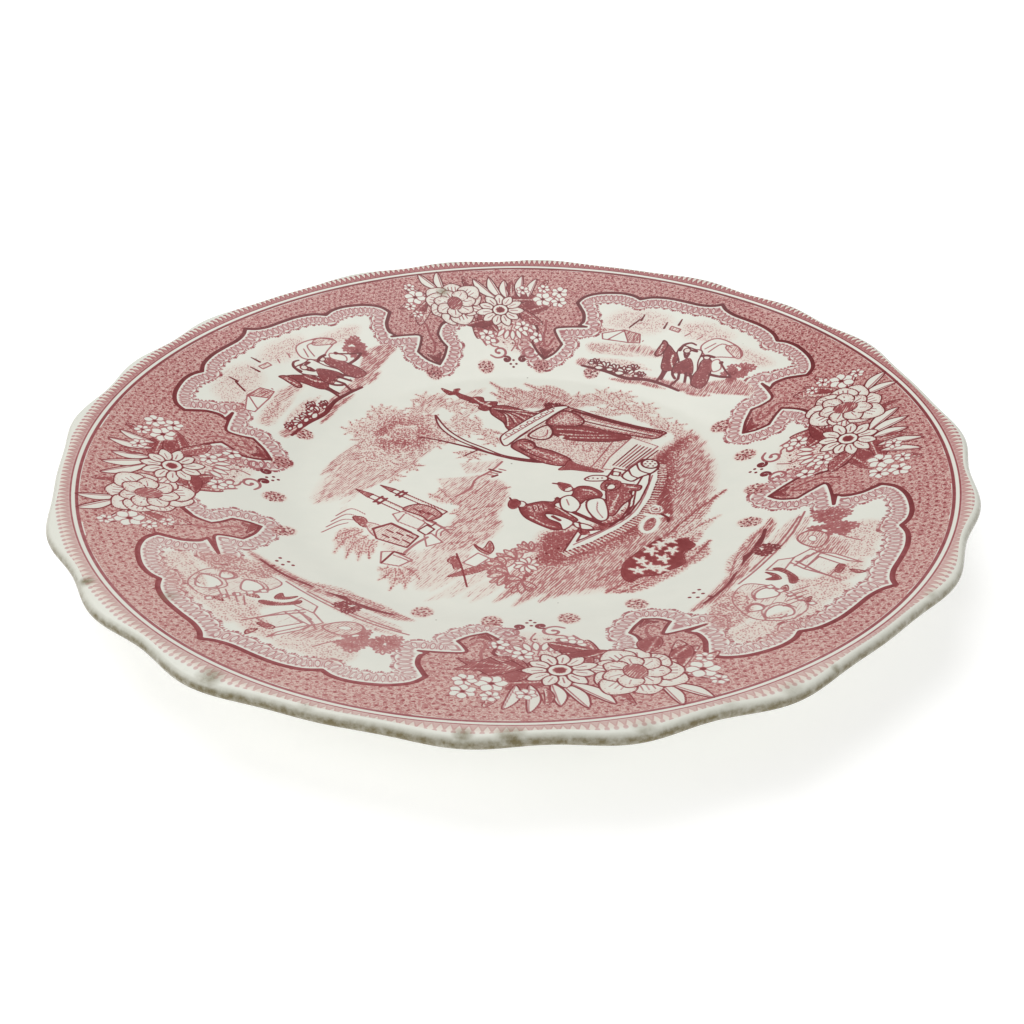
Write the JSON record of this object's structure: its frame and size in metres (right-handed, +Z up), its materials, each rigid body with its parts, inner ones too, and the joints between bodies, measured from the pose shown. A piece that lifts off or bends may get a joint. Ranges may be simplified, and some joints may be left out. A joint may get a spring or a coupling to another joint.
{
  "type": "china serving plate",
  "caption": "Round glazed earthenware serving plate with a wavy lobed lip, curved rim, shallow well, foot ring and a red transfer print.",
  "frame": {"origin": "centre of the plane that the foot ring stands on", "axes": "+Z up through the middle of the well, the face of the plate looks up; +X to the right and +Y to the back of the printed scene as shown"},
  "size_m": [0.2671, 0.2664, 0.0246],
  "materials": {
    "clay": "fired white earthenware, bare only at the foot's bearing face",
    "glaze": "clear lead glaze, glossy, faintly green-grey where it is thick",
    "ink": "cranberry red ink under a glossy glaze"
  },
  "bodies": {
    "root": {"clay_body": "clay", "glaze_coat": "glaze", "base_glaze": "glaze", "centre_print": "ink", "edge_band_print": "ink", "vignette_print_back_right": "ink", "spray_print_back": "ink", "vignette_print_back_left": "ink", "spray_print_left": "ink", "vignette_print_front_left": "ink", "spray_print_front": "ink", "vignette_print_front_right": "ink", "spray_print_right": "ink"}
  },
  "joints": []
}
